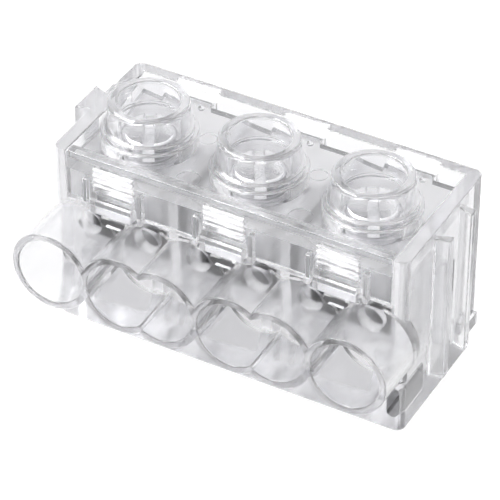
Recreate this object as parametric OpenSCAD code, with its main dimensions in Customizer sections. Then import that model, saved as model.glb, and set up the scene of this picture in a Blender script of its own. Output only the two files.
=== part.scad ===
// Three-pole clear terminal strip: a moulded housing with six wire tubes,
// a snap-on cover with three screwdriver towers, and a cage clamp with a
// saddle plate and a slotted screw in every pole.
// The front wall plane is the zero of the working depth; the whole strip is
// shifted so that its origin is under the middle of its bounding box.

/* [Row] */
// Distance between neighbouring poles
pole_pitch = 12; // [12:0.1:13]

/* [Housing] */
// Length of the housing along the row
body_l = 37.8; // [37.8:0.2:42]
// Depth of the housing, front wall to back wall
body_d = 16.2; // [15.8:0.1:20]
// Height of the housing rim above the underside
body_h = 20.2; // [20.2:0.1:22]
// Thickness of the two end walls
end_t = 1.5; // [1.2:0.1:1.5]
// Thickness of the front and back walls
wall_t = 1.3; // [1.1:0.1:1.4]
// Thickness of the floor
floor_t = 2.4; // [2.2:0.1:2.4]
// Thickness of the partitions between poles
part_t = 1.0; // [0.8:0.1:1]
// Radius of the upright outer corners
corner_r = 0.9; // [0.6:0.1:1.2]

/* [Wire tubes] */
// Outer radius of a wire tube
tube_ro = 4.25; // [3.9:0.05:4.25]
// Wall of a wire tube
tube_w = 0.75; // [0.6:0.05:0.9]
// How far the tubes stand out of the front wall
tube_len = 6.1; // [4:0.1:8]
// Height of the tube axes
tube_z = 10.2; // [10:0.1:10.2]
// Sideways offset of a tube axis from its pole
tube_off = 3.8; // [3.7:0.05:3.9]
// Diameter of the conductor hole through the front wall
cond_d = 2.6; // [2.4:0.1:2.6]
// Sideways offset of a conductor hole from its pole
cond_off = 3.2; // [3.1:0.05:3.2]
// Height of a conductor hole above the tube axis
cond_up = 1.9; // [1.6:0.05:1.9]

/* [End dovetail] */
// How far the tongue and the rails stand out
dove_x = 1.5; // [1:0.1:2]
// Height left open above the rails of the groove
rail_drop = 0.7; // [0.4:0.1:2]
// Height of the lower ends of the rails
rail_foot = 3.0; // [0:0.2:4]

/* [Cover] */
// Thickness of the top plate
plate_t = 1.4; // [1.2:0.1:1.6]
// Depth of the top plate below the rim
plate_drop = 1.1; // [0.8:0.1:1.2]
// Thickness of the front skirt
skirt_t = 1.2; // [1:0.1:1.3]
// Outer diameter of a tower
tower_od = 8.0; // [7.8:0.1:8.4]
// Inner diameter of a tower
tower_id = 6.0; // [5.9:0.1:6.2]
// Height of a tower above the housing rim
tower_up = 3.6; // [3:0.1:5]
// Diameter of the collar round a tower
collar_od = 9.6; // [9.4:0.1:10.4]
// Height of the collar
collar_h = 1.5; // [1.2:0.1:1.8]
// Diameter of the screw passage through the plate
pass_d = 5.7; // [5.7:0.1:6]
// Distance of the tower axis behind the front wall
tower_y = 6.6; // [6.5:0.05:6.6]

/* [Latches] */
// Width of a latch tab
tab_w = 4.5; // [4:0.1:5]
// Number of grip ridges on a tab
ridges = 5; // [4:1:5]

/* [Clamps] */
// Width of the metal cage
cage_w = 10.2; // [9.8:0.1:10.4]
// Sheet thickness of the cage walls
cage_t = 0.7; // [0.6:0.1:0.7]
// Thickness of the sheet that the conductors lie on
cage_floor = 1.0; // [0.9:0.1:1]
// Diameter of the threaded boss under that sheet
boss_d = 6.4; // [6:0.1:6.4]
// Height of the threaded boss
boss_h = 1.9; // [1.7:0.1:1.9]
// Height of the cage above its sheet's underside
cage_h = 8.2; // [7.8:0.1:8.4]
// Thickness of the saddle plate
saddle_t = 1.6; // [1.4:0.1:1.7]
// Gap between cage sheet and raised saddle plate
open_gap = 4.5; // [4.4:0.1:4.5]

/* [Screws] */
// Nominal diameter of the screw shank
screw_d = 4.0; // [3.6:0.1:4]
// Diameter of the screw head
head_d = 5.1; // [4.8:0.1:5.1]
// Width of the driver slot
slot_w = 1.0; // [0.8:0.1:1.2]
// Depth of the driver slot
slot_h = 1.7; // [1.2:0.1:2]
// Depth of the raised screw head below the tower rim
head_sink = 3.2; // [2.8:0.1:3.2]

/* [Hidden] */
$fn = 64;
e = 0.02;
fit = 0.1;                                  // gap between moulded pieces
rad = 0.05;                                 // radial clearance on the shank
y_mid = (body_d - tube_len) / 2;            // middle of the depth
x_in = body_l / 2 - end_t;                  // inner face of the end walls
y_back = body_d - wall_t;                   // inner face of the back wall
wall_top = tube_z + tube_ro + 0.1;          // top of the low front wall
plate_top = body_h - plate_drop;
plate_bot = plate_top - plate_t;
part_top = plate_bot - fit;                 // top of the partitions
tower_top = body_h + tower_up;
bay_w = pole_pitch - part_t;                // clear width of a pole bay
cage_z = 8.2;                               // underside of the cage sheets
cage_y0 = 2.6;                              // open front of the cages
cage_y1 = tower_y + 3.65;                   // back of the cages
clamp_z = cage_z + cage_floor;              // seat for the conductors
saddle_z = clamp_z + open_gap;              // underside of the raised saddle
head_z = saddle_z + saddle_t + 0.1;         // underside of the screw head
head_top = tower_top - head_sink;
slot_turn = [28, 31, 29];                   // slot directions at rest
tip_z = clamp_z - 2.0;                      // lower end of a raised screw
foot_z = 2.4;                               // rebate under the back edge
foot_y = 1.9;

function pole_x(i) = (i - 2) * pole_pitch;

module place() translate([0, -y_mid, 0]) children();
module box(x0, x1, y0, y1, z0, z1)
    translate([x0, y0, z0]) cube([x1 - x0, y1 - y0, z1 - z0]);
module rod_y(x, z, r, y0, y1)
    translate([x, y0, z]) rotate([-90, 0, 0]) cylinder(r = r, h = y1 - y0);
module rod_z(x, y, r, z0, z1)
    translate([x, y, z0]) cylinder(r = r, h = z1 - z0);

// Rectangle with round corners, from its lower left corner
module round_rect(w, d, r) {
    translate([r, 0]) square([w - 2 * r, d]);
    translate([0, r]) square([w, d - 2 * r]);
    for (x = [r, w - r], y = [r, d - r]) translate([x, y]) circle(r);
}

// Dovetail tongue on the left end and the thin pad behind it
module tongue() {
    x = -body_l / 2;
    linear_extrude(body_h)
        polygon([[x + e, 7.0], [x - dove_x, 6.4], [x - dove_x, 10.6], [x + e, 10.0]]);
    box(x - 0.5, x + e, 9.8, 12.2, 0, body_h - 0.4);
}

// Two undercut rails on the right end that take the next strip's tongue
module rails() {
    x = body_l / 2;
    h = body_h - rail_drop - rail_foot;
    translate([0, 0, rail_foot]) linear_extrude(h)
        polygon([[x - e, 5.4], [x + dove_x, 5.7], [x + dove_x, 6.75], [x - e, 6.15]]);
    translate([0, 0, rail_foot]) linear_extrude(h)
        polygon([[x - e, 10.85], [x + dove_x, 10.25], [x + dove_x, 11.3], [x - e, 11.6]]);
    // narrow ledge low on the back corner
    box(x - e, x + 0.35, body_d - 2.6, body_d - 0.5, foot_z, foot_z + 1.3);
}

// Tubes of one pole, as full rods
module tube_rods(r, y0, y1)
    for (i = [1:3], s = [-1, 1]) rod_y(pole_x(i) + s * tube_off, tube_z, r, y0, y1);

// Upright ribs that carry a cage and stop it at the back
module cage_seat(x) {
    for (s = [-1, 1])
        box(x + s * 4.1 - 0.6, x + s * 4.1 + 0.6, wall_t - e, cage_y1, floor_t - e, cage_z);
    box(x - bay_w / 2 - e, x - bay_w / 2 + 1.6, cage_y1 + 0.05, cage_y1 + 1, floor_t - e, 13);
    box(x + bay_w / 2 - 1.6, x + bay_w / 2 + e, cage_y1 + 0.05, cage_y1 + 1, floor_t - e, 13);
}

module housing() color([0.86, 0.87, 0.90, 0.45]) place() {
    difference() {
        union() {
            difference() {
                union() {
                    translate([-body_l / 2, 0, 0])
                        linear_extrude(body_h) round_rect(body_l, body_d, corner_r);
                    tongue();
                    rails();
                }
                // pole bays, open at the top
                for (i = [1:3]) {
                    x0 = i == 1 ? -x_in : pole_x(i) - bay_w / 2;
                    x1 = i == 3 ? x_in : pole_x(i) + bay_w / 2;
                    box(x0, x1, wall_t, y_back, floor_t, body_h + 1);
                }
                // seat of the cover: partitions and front wall stay low
                box(-x_in, x_in, wall_t - e, y_back, part_top, body_h + 1);
                box(-x_in, x_in, -1, wall_t + e, wall_top, body_h + 1);
                // windows for the rear hooks of the cover
                for (i = [1:3])
                    box(pole_x(i) - 2.3, pole_x(i) + 2.3, y_back - e, body_d + 1,
                        plate_bot - 0.15, plate_bot + 1.05);
            }
            // raised floor step over the rear rebate
            box(-x_in - e, x_in + e, body_d - foot_y - 1.2, y_back + e, floor_t - e, foot_z + 1.2);
            for (i = [1:3]) cage_seat(pole_x(i));
            // corner block that holds the oblong socket
            box(x_in - 1.1, x_in + e, wall_t - e, 6, floor_t - e, 6.3);
            tube_rods(tube_ro, -tube_len, wall_t - 0.3);
            // catches under the latch tabs
            for (i = [1:3]) box(pole_x(i) - 1.3, pole_x(i) + 1.3, -0.7, e, 13.2, 14.1);
        }
        tube_rods(tube_ro - tube_w, -tube_len - 1, 0);
        for (i = [1:3], s = [-1, 1])
            rod_y(pole_x(i) + s * cond_off, tube_z + cond_up, cond_d / 2, -1, wall_t + 1);
        // rebate under the back edge
        box(-body_l, body_l, body_d - foot_y, body_d + 1, -1, foot_z);
        // oblong socket in the front corner
        for (z = [2.2, 4.6]) rod_y(x_in + 0.5, z, 0.6, -1, 4.6);
        box(x_in - 0.1, x_in + 1.1, -1, 4.6, 2.2, 4.6);
    }
}

// One tower: collar, step and ring, as a turned outline
module tower_solid()
    rotate_extrude() polygon([
        [tower_id / 2 - 0.6, plate_top - e], [collar_od / 2, plate_top - e],
        [collar_od / 2, plate_top + collar_h - 0.15], [collar_od / 2 - 0.15, plate_top + collar_h],
        [tower_od / 2 + 0.4, plate_top + collar_h], [tower_od / 2 + 0.4, plate_top + collar_h + 0.45],
        [tower_od / 2, plate_top + collar_h + 0.6], [tower_od / 2, tower_top - 0.25],
        [tower_od / 2 - 0.25, tower_top], [tower_id / 2 - 0.6, tower_top]]);

// Latch tab of one pole on the front skirt
module latch(x) {
    n = ridges;
    z0 = wall_top + 2.2;                    // foot of the ridged half
    z1 = body_h - 0.5;
    step = (z1 - z0) / n;
    // plain lower block, sloped on top
    translate([x - tab_w / 2, 0, 0]) rotate([90, 0, 90]) linear_extrude(tab_w)
        polygon([[e, wall_top + 0.1], [-1.0, wall_top + 0.1], [-1.0, z0 - 0.7], [-0.5, z0], [e, z0]]);
    // grip ridges
    for (k = [0:n - 1])
        translate([x - tab_w / 2 + 0.1, 0, z0 + k * step]) rotate([90, 0, 90]) linear_extrude(tab_w - 0.2)
            polygon([[e, 0], [-0.55, 0], [-0.55, step * 0.35], [-0.25, step * 0.62], [e, step * 0.62]]);
    // guide bars at both sides
    for (s = [-1, 1])
        box(x + s * (tab_w / 2 + 0.75) - 0.25, x + s * (tab_w / 2 + 0.75) + 0.25, -0.7, e,
            wall_top + 0.1, body_h - 2.2);
}

module cover() color([0.90, 0.91, 0.94, 0.40]) place() {
    xc = x_in - fit;
    difference() {
        union() {
            box(-xc, xc, 0, y_back - 0.85, plate_bot, plate_top);
            box(-xc, xc, 0, skirt_t, wall_top + 0.1, body_h);
            // rear lands with the hooks that enter the back wall
            for (i = [1:3]) {
                box(pole_x(i) - 2.5, pole_x(i) + 2.5, y_back - 0.9, y_back - 0.08, plate_bot, plate_top);
                box(pole_x(i) - 2.1, pole_x(i) + 2.1, y_back - 0.2, body_d - 0.25, plate_bot, plate_bot + 0.9);
            }
            for (i = [1:3]) {
                translate([pole_x(i), tower_y, 0]) tower_solid();
                latch(pole_x(i));
            }
        }
        for (i = [1:3]) {
            rod_z(pole_x(i), tower_y, tower_id / 2, plate_top - 0.4, tower_top + 1);
            rod_z(pole_x(i), tower_y, pass_d / 2, plate_bot - 1, plate_top);
            // slits that let the tab flex
            for (s = [-1, 1])
                box(pole_x(i) + s * (tab_w / 2 + 0.25) - 0.2, pole_x(i) + s * (tab_w / 2 + 0.25) + 0.2,
                    -1, skirt_t + 1, wall_top, plate_bot - 0.4);
            // pin marks on the plate
            rod_z(pole_x(i) + 1.7, y_back - 1.3, 0.35, plate_top - 0.35, plate_top + 1);
        }
        for (x = [-pole_pitch / 2 - 1.2, pole_pitch / 2 - 1.2])
            rod_z(x, tower_y + 2.9, 0.9, plate_top - 0.12, plate_top + 1);
        for (s = [-1, 1])
            rod_z(s * pole_pitch / 2 + 0.3, 3.0, 1.2, plate_top - 0.12, plate_top + 1);
    }
}

// Cage: sheet with a threaded boss, two sides and a back, open at front and top
module clamp_cage(i) color([0.62, 0.62, 0.63]) place() translate([pole_x(i), 0, 0]) {
    difference() {
        union() {
            difference() {
                box(-cage_w / 2, cage_w / 2, cage_y0, cage_y1, cage_z, cage_z + cage_h);
                box(-cage_w / 2 + cage_t, cage_w / 2 - cage_t, cage_y0 - 1, cage_y1 - cage_t,
                    clamp_z, cage_z + cage_h + 1);
            }
            rod_z(0, tower_y, boss_d / 2, cage_z - boss_h, cage_z + 0.3);
        }
        rod_z(0, tower_y, screw_d / 2 + rad, cage_z - boss_h - 1, clamp_z + 1);
    }
}

// Saddle plate with its front lip turned up, at its raised height
module saddle_plate(i) color([0.70, 0.70, 0.71]) place() translate([pole_x(i), 0, 0]) {
    hx = cage_w / 2 - cage_t - 0.3;
    y0 = cage_y0 + 0.2;
    y1 = cage_y1 - cage_t - 0.3;
    difference() {
        union() {
            box(-hx, hx, y0, y1, saddle_z, saddle_z + saddle_t);
            box(-hx, hx, y0, y0 + 0.6, saddle_z, saddle_z + saddle_t + 1.6);
        }
        rod_z(0, tower_y, screw_d / 2 + rad, saddle_z - 1, saddle_z + saddle_t + 1);
        // gripping grooves across the conductors
        for (y = [y0 + 1.0, y1 - 1.0])
            translate([-hx - 1, y, saddle_z]) rotate([45, 0, 0]) translate([0, -0.25, -0.25])
                cube([2 * hx + 2, 0.5, 0.5]);
    }
}

// Slotted screw: long cylindrical head and a plain shank of the thread's size
module screw(i) color([0.74, 0.74, 0.75]) place() translate([pole_x(i), tower_y, 0]) {
    difference() {
        rotate_extrude() polygon([
            [0, tip_z], [screw_d / 2 - 0.5, tip_z], [screw_d / 2, tip_z + 0.5],
            [screw_d / 2, head_z], [head_d / 2, head_z], [head_d / 2, head_top - 0.35],
            [head_d / 2 - 0.35, head_top], [0, head_top]]);
        rotate([0, 0, slot_turn[i - 1]])
            box(-slot_w / 2, slot_w / 2, -head_d, head_d, head_top - slot_h, head_top + 1);
    }
}

housing();
cover();
clamp_cage(1);  // clamp_cage_1
clamp_cage(2);  // clamp_cage_2
clamp_cage(3);  // clamp_cage_3
saddle_plate(1);  // saddle_plate_1
saddle_plate(2);  // saddle_plate_2
saddle_plate(3);  // saddle_plate_3
screw(1);  // screw_1
screw(2);  // screw_2
screw(3);  // screw_3
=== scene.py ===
"""Clear three-pole terminal strip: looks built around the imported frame."""

import math

import bmesh
import bpy
from mathutils import Matrix, Vector
from mathutils.geometry import intersect_point_line


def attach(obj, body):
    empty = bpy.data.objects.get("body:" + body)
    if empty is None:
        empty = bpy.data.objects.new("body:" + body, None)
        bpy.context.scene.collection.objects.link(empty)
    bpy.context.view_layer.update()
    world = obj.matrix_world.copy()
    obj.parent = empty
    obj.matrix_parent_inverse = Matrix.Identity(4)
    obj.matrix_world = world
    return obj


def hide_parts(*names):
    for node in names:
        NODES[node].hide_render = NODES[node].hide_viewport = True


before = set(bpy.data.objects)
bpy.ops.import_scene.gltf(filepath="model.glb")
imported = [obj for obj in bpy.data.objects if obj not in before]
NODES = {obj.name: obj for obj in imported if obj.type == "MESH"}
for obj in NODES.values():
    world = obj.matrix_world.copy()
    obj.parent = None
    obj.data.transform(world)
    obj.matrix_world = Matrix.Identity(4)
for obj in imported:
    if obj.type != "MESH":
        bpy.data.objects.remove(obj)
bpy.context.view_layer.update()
scene = bpy.context.scene
MM = 0.001
POLES = (-12.0, 0.0, 12.0)          # pole axes along the row, mm
TOWER_Y = 1.55                      # tower axis in the row's frame, mm
HEAD_TOP, HEAD_Z, TIP_Z = 20.6, 15.4, 7.2
SLOT_TURN = (28.0, 31.0, 29.0)


# ---------------------------------------------------------------- camera
def make_camera():
    az, el, dist = math.radians(28.96), math.radians(38.28), 0.28892
    target = Vector((-0.91, 1.35, 10.0)) * MM
    back = Vector((math.sin(az) * math.cos(el), -math.cos(az) * math.cos(el), math.sin(el)))
    data = bpy.data.cameras.new("camera")
    data.sensor_width = 36.0
    data.lens = 216.0
    data.clip_start, data.clip_end = 0.01, 10.0
    cam = bpy.data.objects.new("camera", data)
    scene.collection.objects.link(cam)
    cam.location = target + back * dist
    cam.rotation_mode = "QUATERNION"
    cam.rotation_quaternion = (-back).to_track_quat("-Z", "Y")
    scene.camera = cam


make_camera()


# ---------------------------------------------------------------- node helpers
def new_material(name):
    m = bpy.data.materials.new(name)
    m.use_nodes = True
    nt = m.node_tree
    nt.nodes.clear()
    out = nt.nodes.new("ShaderNodeOutputMaterial")
    b = nt.nodes.new("ShaderNodeBsdfPrincipled")
    nt.links.new(b.outputs["BSDF"], out.inputs["Surface"])
    return m, nt, b


def coords(nt, scale=(1, 1, 1)):
    tc = nt.nodes.new("ShaderNodeTexCoord")
    mp = nt.nodes.new("ShaderNodeMapping")
    mp.inputs["Scale"].default_value = scale
    nt.links.new(tc.outputs["Object"], mp.inputs["Vector"])
    return mp.outputs["Vector"]


def noise(nt, vec, scale, detail=3.0, rough=0.5):
    n = nt.nodes.new("ShaderNodeTexNoise")
    n.inputs["Scale"].default_value = scale
    n.inputs["Detail"].default_value = detail
    n.inputs["Roughness"].default_value = rough
    nt.links.new(vec, n.inputs["Vector"])
    return n.outputs["Fac"]


def ramp(nt, fac, stops):
    r = nt.nodes.new("ShaderNodeValToRGB")
    while len(r.color_ramp.elements) < len(stops):
        r.color_ramp.elements.new(0.5)
    for e, (p, c) in zip(r.color_ramp.elements, stops):
        e.position = p
        e.color = (*c, 1.0) if len(c) == 3 else c
    nt.links.new(fac, r.inputs["Fac"])
    return r.outputs["Color"]


def spread(nt, fac, lo, hi, a=0.3, b=0.7):
    m = nt.nodes.new("ShaderNodeMapRange")
    m.inputs["From Min"].default_value = a
    m.inputs["From Max"].default_value = b
    m.inputs["To Min"].default_value = lo
    m.inputs["To Max"].default_value = hi
    nt.links.new(fac, m.inputs["Value"])
    return m.outputs["Result"]


def bump(nt, b, height, strength, distance):
    n = nt.nodes.new("ShaderNodeBump")
    n.inputs["Strength"].default_value = strength
    n.inputs["Distance"].default_value = distance
    nt.links.new(height, n.inputs["Height"])
    nt.links.new(n.outputs["Normal"], b.inputs["Normal"])


# ---------------------------------------------------------------- materials
def clear_plastic(name, lo, hi, r0, r1, ior):
    """Clear moulded polycarbonate: slight haze, faint flow marks, darker where light runs far inside it."""
    m, nt, b = new_material(name)
    flow = noise(nt, coords(nt, (1.0, 0.35, 1.0)), 260.0, 2.0)
    fine = noise(nt, coords(nt), 1500.0, 2.0)
    nt.links.new(ramp(nt, flow, [(0.3, lo), (0.7, hi)]), b.inputs["Base Color"])
    at = nt.nodes.new("ShaderNodeAttribute")
    at.attribute_name = "satin"
    rough = nt.nodes.new("ShaderNodeMath")
    rough.operation = "MULTIPLY_ADD"
    nt.links.new(at.outputs["Fac"], rough.inputs[0])
    rough.inputs[1].default_value = 0.48
    nt.links.new(spread(nt, fine, r0, r1), rough.inputs[2])
    nt.links.new(rough.outputs[0], b.inputs["Roughness"])
    b.inputs["Transmission Weight"].default_value = CLEAR
    b.inputs["IOR"].default_value = ior
    bump(nt, b, flow, 0.06, 0.0002)
    v = nt.nodes.new("ShaderNodeVolumeAbsorption")
    v.inputs["Color"].default_value = (0.895, 0.895, 0.91, 1.0)
    v.inputs["Density"].default_value = DENSE
    out = next(n for n in nt.nodes if n.type == "OUTPUT_MATERIAL")
    nt.links.new(v.outputs["Volume"], out.inputs["Volume"])
    return m


CLEAR, DENSE = 0.97, 40.0


def plated_metal(name, lo, hi, r0, r1, stretch, scale):
    """Plated metal: streaks of the rolling or turning, small stains."""
    m, nt, b = new_material(name)
    streak = noise(nt, coords(nt, stretch), scale, 4.0, 0.6)
    stain = noise(nt, coords(nt), 500.0, 3.0)
    mix = nt.nodes.new("ShaderNodeMath")
    mix.operation = "MULTIPLY_ADD"
    nt.links.new(streak, mix.inputs[0])
    mix.inputs[1].default_value = 0.6
    nt.links.new(spread(nt, stain, 0.0, 0.4), mix.inputs[2])
    nt.links.new(ramp(nt, mix.outputs[0], [(0.25, lo), (0.75, hi)]), b.inputs["Base Color"])
    nt.links.new(spread(nt, streak, r0, r1), b.inputs["Roughness"])
    b.inputs["Metallic"].default_value = 1.0
    bump(nt, b, streak, 0.15, 0.00005)
    return m


def darken_by_shade(m, name, dark):
    """Darkens a metal or plastic with painted shade where the mesh attribute is set."""
    nt = m.node_tree
    b = next(n for n in nt.nodes if n.type == "BSDF_PRINCIPLED")
    unshaded = b.inputs["Base Color"].links[0].from_socket
    at = nt.nodes.new("ShaderNodeAttribute")
    at.attribute_name = name
    mix = nt.nodes.new("ShaderNodeMix")
    mix.data_type = "RGBA"
    nt.links.new(at.outputs["Fac"], mix.inputs["Factor"])
    nt.links.new(unshaded, mix.inputs["A"])
    nt.links.new(ramp(nt, noise(nt, coords(nt), 900.0, 3.0), [(0.3, dark), (0.7, tuple(2.2 * c for c in dark))]), mix.inputs["B"])
    nt.links.new(mix.outputs["Result"], b.inputs["Base Color"])
    return m


M_HOUSING = clear_plastic("clear_housing_pc", (0.918, 0.918, 0.928), (0.945, 0.945, 0.953), 0.11, 0.17, 1.49)
M_COVER = clear_plastic("clear_cover_pc", (0.94, 0.94, 0.952), (0.962, 0.962, 0.97), 0.03, 0.07, 1.585)
M_CAGE = plated_metal("cage_nickel", (0.72, 0.72, 0.73), (0.85, 0.85, 0.86), 0.25, 0.42, (1, 1, 12), 300.0)
M_SADDLE = plated_metal("saddle_zinc", (0.78, 0.78, 0.79), (0.88, 0.88, 0.89), 0.22, 0.40, (1, 10, 1), 300.0)
M_SCREW = plated_metal("screw_zinc", (0.80, 0.80, 0.81), (0.92, 0.92, 0.925), 0.16, 0.30, (1, 1, 14), 400.0)
# painted shade: the dark colours below darken the screw heads, the cage insides and the housing's socket
darken_by_shade(M_SCREW, "painted_shade", (0.12, 0.12, 0.125))
darken_by_shade(M_CAGE, "painted_shade", (0.09, 0.09, 0.095))
darken_by_shade(M_HOUSING, "painted_shade", (0.10, 0.10, 0.105))


# ---------------------------------------------------------------- pieces
def fan_normals(me, limit):
    """Corner normals in which every smooth fan follows its largest faces, so that flat walls stay flat."""
    if "custom_normal" in me.attributes:
        me.attributes.remove(me.attributes["custom_normal"])
    for p in me.polygons:
        p.use_smooth = True
    bm = bmesh.new()
    bm.from_mesh(me)
    soft = {e: len(e.link_faces) == 2 and e.calc_face_angle(4.0) < math.radians(limit) for e in bm.edges}
    pull = {f: f.normal * f.calc_area() ** 2 * 1e18 for f in bm.faces}
    found = {}
    for v in bm.verts:
        left = set(v.link_faces)
        while left:
            stack, fan = [left.pop()], []
            while stack:
                f = stack.pop()
                fan.append(f)
                for e in f.edges:
                    if soft[e] and v in e.verts:
                        for g in e.link_faces:
                            if g in left:
                                left.discard(g)
                                stack.append(g)
            n = sum((pull[f] for f in fan), Vector())
            n = n.normalized() if n.length > 0 else fan[0].normal.copy()
            for f in fan:
                found[(f.index, v.index)] = n
    bm.faces.ensure_lookup_table()
    normals = [found[(p.index, me.loops[k].vertex_index)] for p in me.polygons for k in p.loop_indices]
    bm.free()
    me.set_sharp_from_angle(angle=math.radians(limit))
    me.normals_split_custom_set(normals)


def paint(me, pick, name="painted_shade"):
    """Marks the faces that get painted shade, or that are blunt and satin."""
    layer = me.attributes.new(name, "FLOAT", "CORNER")
    for p in me.polygons:
        for k in p.loop_indices:
            layer.data[k].value = float(pick(p, me.vertices[me.loops[k].vertex_index].co / MM))


def take_piece(me, name, node, body, mat, limit=35):
    fan_normals(me, limit)
    me.materials.clear()
    me.materials.append(mat)
    o = bpy.data.objects.new(name, me)
    scene.collection.objects.link(o)
    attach(o, body)
    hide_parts(node)
    return o


def angle_of(e):
    return e.calc_face_angle(0.0) if len(e.link_faces) == 2 else 0.0


def rounded_copy(node, name, body, mat, passes, shade_pick):
    """A new piece on the solid of a node, with its sharp edges rounded."""
    me = bpy.data.meshes.new(name)
    bm = bmesh.new()
    bm.from_mesh(NODES[node].data)
    bmesh.ops.remove_doubles(bm, verts=bm.verts, dist=2e-6)
    bmesh.ops.dissolve_limit(bm, angle_limit=math.radians(0.6), verts=bm.verts, edges=bm.edges)
    for pick, width, segments in passes:
        edges = [e for e in bm.edges if angle_of(e) > math.radians(35) and pick(e)]
        bmesh.ops.bevel(bm, geom=edges, offset=width * MM, offset_type="OFFSET", segments=segments, profile=0.5,
                        affect="EDGES", clamp_overlap=True, loop_slide=True)
    bm.normal_update()
    bm.to_mesh(me)
    bm.free()
    paint(me, shade_pick)
    return take_piece(me, name, node, body, mat)


def seg_dist(p, a, b):
    q, t = intersect_point_line(p, a, b)
    return (p - (a if t < 0 else b if t > 1 else q)).length


def chain_rooms(bm, wide):
    """Chains of sharp edges that run on into each other, each with the width that fits it."""
    sharp = [e for e in bm.edges if angle_of(e) > math.radians(35)]
    marked = set(sharp)
    room = {}
    for e in sharp:
        r = wide(e) * MM
        mid = (e.verts[0].co + e.verts[1].co) / 2
        for k in (k for f in e.link_faces for k in f.edges if r > 0 and k is not e and k in marked):
            shared = [v for v in e.verts if v in k.verts]
            if shared:
                v = shared[0]
                c = (k.other_vert(v).co - v.co).normalized().dot((e.other_vert(v).co - v.co).normalized())
                if c > -0.5:
                    r = min(r, 0.48 * k.calc_length() * math.sqrt(max(0.0, 1 - c * c)))
            else:
                r = min(r, 0.45 * seg_dist(mid, k.verts[0].co, k.verts[1].co))
        room[e] = r
    seen, chains = set(), []
    for e in sharp:
        if e in seen:
            continue
        seen.add(e)
        stack, chain = [e], []
        while stack:
            c = stack.pop()
            chain.append(c)
            for v in c.verts:
                nb = [k for k in v.link_edges if k in marked and k is not c]
                if len(nb) == 1 and nb[0] not in seen:
                    k = nb[0]
                    if (c.other_vert(v).co - v.co).normalized().dot((k.other_vert(v).co - v.co).normalized()) < -0.5:
                        seen.add(k)
                        stack.append(k)
        w = min(room[c] for c in chain)
        chains.append((chain, w if w > 0.02 * MM else 0.0))
    return chains


def moulded_copy(node, name, body, mat, wide, shade_pick, satin, segments=3):
    """A new piece on the solid of a moulding, with its free edges rounded as far as each has room."""
    bm = bmesh.new()
    bm.from_mesh(NODES[node].data)
    bmesh.ops.remove_doubles(bm, verts=bm.verts, dist=1.5e-5)
    bmesh.ops.dissolve_degenerate(bm, dist=1e-6, edges=bm.edges)
    bmesh.ops.dissolve_limit(bm, angle_limit=math.radians(0.6), verts=bm.verts, edges=bm.edges)
    layer = bm.edges.layers.float.new("bevel_weight_edge")
    chains = chain_rooms(bm, wide)
    top = max(w for _, w in chains)
    for chain, w in chains:
        for e in chain:
            e[layer] = w / top
    me = bpy.data.meshes.new(name + "_blank")
    bm.to_mesh(me)
    bm.free()
    o = bpy.data.objects.new(name + "_blank", me)
    scene.collection.objects.link(o)
    mod = o.modifiers.new("round", "BEVEL")
    mod.limit_method, mod.offset_type = "WEIGHT", "OFFSET"
    mod.width, mod.segments, mod.use_clamp_overlap = top, segments, False
    out = bpy.data.meshes.new_from_object(o.evaluated_get(bpy.context.evaluated_depsgraph_get()))
    out.name = name
    bpy.data.objects.remove(o)
    bm = bmesh.new()
    bm.from_mesh(out)
    bmesh.ops.remove_doubles(bm, verts=bm.verts, dist=2e-7)
    bm.to_mesh(out)
    bm.free()
    paint(out, shade_pick)
    paint(out, satin, "satin")
    return take_piece(out, name, node, body, mat)


def housing_edge(e):
    """Width of the rounding in mm on an edge of the housing."""
    m = (e.verts[0].co + e.verts[1].co) / 2 / MM
    if not e.is_convex:
        return 0.0
    if abs(m.y + 3.75) < 0.05 or abs(m.y + 5.05) < 0.05 and abs(m.z - 12.1) < 1.5:
        return 0.0                                  # conductor holes and their rear ends
    if abs(m.y + 11.15) < 0.05:
        return 0.33                                 # tube mouths
    if m.y > 8.0 and m.z < 3.0:
        return 0.0                                  # rear rebate
    if -5.9 < m.y < -5.0 and 12.9 < m.z < 14.7 and abs(m.x) < 17.3:
        return 0.0                                  # catches and the wall's top beside the tubes
    if m.x > 16.5 and m.y < 0 and 0.05 < m.z < 5.5 and m.x < 18.8:
        return 0.0                                  # oblong socket
    return 0.16


def cover_edge(e):
    """Width of the rounding in mm on an edge of the cover."""
    m = (e.verts[0].co + e.verts[1].co) / 2 / MM
    if not e.is_convex or m.z < 17.75 and m.y > -3.0:
        return 0.0
    if m.z > 23.4:
        return 0.28                                 # rims of the towers
    if any(2.6 < math.hypot(m.x - px, m.y - TOWER_Y) < 3.2 for px in POLES) and m.z < 20:
        return 0.0
    if abs(m.z - 19.1) < 0.05 and e.calc_length() < 0.0003:
        return 0.0                                  # shallow pin marks
    if m.y < -5.0 and 16.7 < m.z < 19.8:
        return 0.05 if m.y < -5.3 and abs(m.z - 16.75) > 0.1 else 0.0
    return 0.06 if m.y < -5.06 else 0.13


def every(e):
    return True


def no_face(p, q):
    return False


def cover_inside(p, q):
    """Satin inner faces of the cover: back of the skirt and underside of the plate."""
    c = p.center / MM
    return p.normal.y > 0.7 and abs(c.y + 3.85) < 0.05 or p.normal.z < -0.7 and abs(c.z - 17.7) < 0.05


# painted shade: the faces inside the oblong socket on the right end are darkened
def in_socket(p, q):
    c = p.center / MM
    return 17.25 < c.x < 18.55 and -4.9 < c.y < -0.4 and 1.55 < c.z < 5.25


def cage_shade(p, q):
    """Painted shade on a cage: its back, the seat on which the conductors are pressed, and its inner sides, darker
    towards the bottom.
    """
    c = p.center / MM
    x = c.x - min(POLES, key=lambda a: abs(a - c.x))
    if p.normal.z > 0.7 and 9.0 < c.z < 9.5:
        return 0.65
    if abs(p.normal.x) > 0.7 and x * p.normal.x < 0:
        return min(1.0, max(0.0, (15.5 - q.z) / 6.0))
    return p.normal.y > 0.5 and c.y > 4.9


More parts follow.
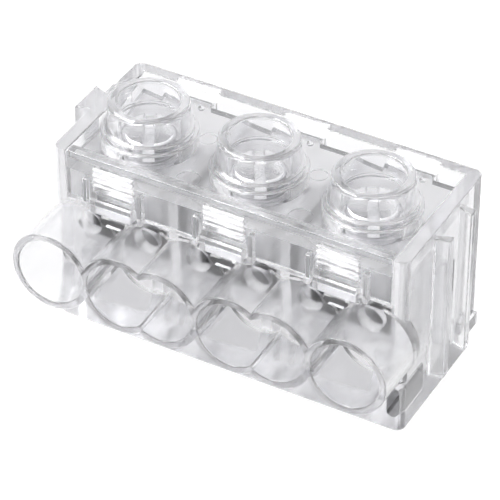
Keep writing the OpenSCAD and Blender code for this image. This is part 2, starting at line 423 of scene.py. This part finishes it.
def bend(i):
    """Picks the outer bends of a cage's sheet."""
    x0 = POLES[i - 1] * MM

    def pick(e):
        m = (e.verts[0].co + e.verts[1].co) / 2
        d = e.verts[0].co - e.verts[1].co
        out_x = abs(abs(m.x - x0) - 0.0051) < 2e-5
        out_y = abs(m.y - 0.00520) < 2e-5
        low = abs(m.z - 0.0082) < 2e-5
        if abs(d.z) > 0.004:
            return out_x and out_y
        return low and ((out_x and abs(d.y) > 0.004) or (out_y and abs(d.x) > 0.004))
    return pick


def screw_piece(i):
    """Slotted screw with a turned head and a right-hand thread on its shank."""
    n, pitch, major, minor = 48, 0.7, 2.0, 1.58
    rows = []

    def thread(z, t):
        ph = ((z - TIP_Z) / pitch - t / (2 * math.pi)) % 1.0
        tri = abs(2 * ph - 1)                       # 1 at the crest, 0 at the root
        r = minor + (major - minor) * min(1.0, max(0.0, (tri - 0.18) / 0.68))
        r = min(r, 1.5 + (z - TIP_Z))
        return min(r, 1.72 + max(0.0, 15.1 - z) * 2.0)

    steps = int(round((HEAD_Z - TIP_Z) / (pitch / 8)))
    for k in range(steps + 1):
        z = TIP_Z + (HEAD_Z - TIP_Z) * k / steps
        rows.append([(thread(z, 2 * math.pi * j / n), z) for j in range(n)])
    head = [(2.40, HEAD_Z), (2.50, HEAD_Z + 0.05), (2.55, HEAD_Z + 0.18), (2.55, 17.0), (2.55, 18.7), (2.55, HEAD_TOP - 0.34),
            (2.53, HEAD_TOP - 0.22), (2.44, HEAD_TOP - 0.10), (2.30, HEAD_TOP - 0.025), (2.12, HEAD_TOP), (1.2, HEAD_TOP)]
    rows += [[p] * n for p in head]
    bm = bmesh.new()
    ax, ay = POLES[i - 1], TOWER_Y
    vs = []
    for row in rows:
        vs.append([bm.verts.new(Vector((ax + r * math.cos(2 * math.pi * j / n), ay + r * math.sin(2 * math.pi * j / n), z)) * MM)
                   for j, (r, z) in enumerate(row)])
    for a, b in zip(vs, vs[1:]):
        for j in range(n):
            bm.faces.new((a[j], a[(j + 1) % n], b[(j + 1) % n], b[j]))
    bm.faces.new(list(reversed(vs[0])))
    bm.faces.new(vs[-1])
    me = bpy.data.meshes.new("screw_blank")
    bm.to_mesh(me)
    bm.free()
    blank = bpy.data.objects.new("screw_blank", me)
    scene.collection.objects.link(blank)

    # cutter: the slot with slightly spread mouth edges
    bm = bmesh.new()
    prof = [(-0.5, -1.7), (0.5, -1.7), (0.5, -0.08), (0.60, 0.02), (0.60, 0.6), (-0.60, 0.6), (-0.60, 0.02), (-0.5, -0.08)]
    turn = Matrix.Rotation(math.radians(SLOT_TURN[i - 1]), 3, "Z")
    ends = []
    for y in (-3.2, 3.2):
        ends.append([bm.verts.new((turn @ Vector((x, y, 0)) + Vector((ax, ay, HEAD_TOP + z))) * MM) for x, z in prof])
    a, b = ends
    for j in range(len(prof)):
        k = (j + 1) % len(prof)
        bm.faces.new((a[j], a[k], b[k], b[j]))
    bm.faces.new(list(reversed(a)))
    bm.faces.new(b)
    bmesh.ops.recalc_face_normals(bm, faces=bm.faces)
    cm = bpy.data.meshes.new("slot_cutter")
    bm.to_mesh(cm)
    bm.free()
    cut = bpy.data.objects.new("slot_cutter", cm)
    scene.collection.objects.link(cut)
    mod = blank.modifiers.new("slot", "BOOLEAN")
    mod.operation, mod.solver, mod.object = "DIFFERENCE", "EXACT", cut
    dg = bpy.context.evaluated_depsgraph_get()
    out = bpy.data.meshes.new_from_object(blank.evaluated_get(dg))
    out.name = f"screw_{i}_turned"
    # painted shade: darkening across the top face, strongest at the tube side, and on the side below it; the slot
    # stays unshaded
    layer = out.attributes.new("painted_shade", "FLOAT", "CORNER")
    back = turn.inverted()
    for p in out.polygons:
        c = back @ (p.center / MM - Vector((ax, ay, 0)))
        top = p.normal.z > 0.9 and c.z > HEAD_TOP - 0.03
        side = c.z > 18.8 and abs(p.normal.z) < 0.4 and math.hypot(c.x, c.y) > 2.4
        for k in p.loop_indices:
            y = (back @ (out.vertices[out.loops[k].vertex_index].co / MM - Vector((ax, ay, 0)))).y
            layer.data[k].value = max(0.0, 0.33 - 0.16 * y) if top else 0.4 if side else 0.0
    bpy.data.objects.remove(blank)
    bpy.data.objects.remove(cut)
    return take_piece(out, f"screw_{i}_turned", f"screw_{i}", f"screw_{i}", M_SCREW, 50)


moulded_copy("housing", "housing_moulding", "strip", M_HOUSING, housing_edge, in_socket, no_face)
moulded_copy("cover", "cover_moulding", "strip", M_COVER, cover_edge, no_face, cover_inside)
for i in (1, 2, 3):
    rounded_copy(f"clamp_cage_{i}", f"cage_{i}", "strip", M_CAGE, [(bend(i), 0.45, 4), (every, 0.06, 1)], cage_shade)
    rounded_copy(f"saddle_plate_{i}", f"saddle_{i}_plate", f"saddle_{i}", M_SADDLE, [(every, 0.08, 2)], no_face)
    screw_piece(i)


# ---------------------------------------------------------------- stage
def make_stage():
    me = bpy.data.meshes.new("floor")
    s = 1.5
    me.from_pydata([(-s, -s, 0), (s, -s, 0), (s, s, 0), (-s, s, 0)], [], [(0, 1, 2, 3)])
    o = bpy.data.objects.new("floor", me)
    o.location.z = -0.00005
    scene.collection.objects.link(o)
    m, nt, b = new_material("floor_paper")
    n = noise(nt, coords(nt), 40.0, 2.0)
    nt.links.new(ramp(nt, n, [(0.3, (0.10, 0.10, 0.102)), (0.7, (0.12, 0.12, 0.122))]), b.inputs["Base Color"])
    b.inputs["Roughness"].default_value = 0.9
    b.inputs["Specular IOR Level"].default_value = 0.1
    b.inputs["Emission Color"].default_value = (1.0, 1.0, 1.0, 1.0)
    b.inputs["Emission Strength"].default_value = 0.93
    me.materials.append(m)


def area(name, loc, aim, size, power, color=(1, 1, 1)):
    d = bpy.data.lights.new(name, "AREA")
    d.shape = "RECTANGLE"
    d.size, d.size_y = size
    d.energy = power
    d.color = color
    o = bpy.data.objects.new(name, d)
    scene.collection.objects.link(o)
    o.location = loc
    o.rotation_mode = "QUATERNION"
    o.rotation_quaternion = (Vector(aim) - Vector(loc)).to_track_quat("-Z", "Y")
    return o


SKY = [(0.0, (0.90, 0.90, 0.92)), (0.3, (0.98, 0.98, 1.0)), (0.6, (1.07, 1.07, 1.08)), (1.0, (1.40, 1.40, 1.40))]


def make_lights():
    w = bpy.data.worlds.new("studio")
    scene.world = w
    w.use_nodes = True
    nt = w.node_tree
    tc = nt.nodes.new("ShaderNodeTexCoord")
    sep = nt.nodes.new("ShaderNodeSeparateXYZ")
    nt.links.new(tc.outputs["Generated"], sep.inputs["Vector"])
    nt.links.new(ramp(nt, sep.outputs["Z"], SKY), nt.nodes["Background"].inputs["Color"])
    nt.nodes["Background"].inputs["Strength"].default_value = 1.0
    area("top", (-0.30, -0.05, 0.45), (0, 0, 0.01), (0.40, 0.30), 3.5)
    area("key", (-0.30, -0.38, 0.52), (0, 0, 0.01), (0.26, 0.26), 1.0)


make_stage()
make_lights()
scene.view_settings.view_transform = "Standard"
scene.view_settings.look = "None"
scene.cycles.use_denoising = True
scene.cycles.max_bounces = 32
scene.cycles.transmission_bounces = 32
scene.cycles.glossy_bounces = 12
scene.cycles.transparent_max_bounces = 16
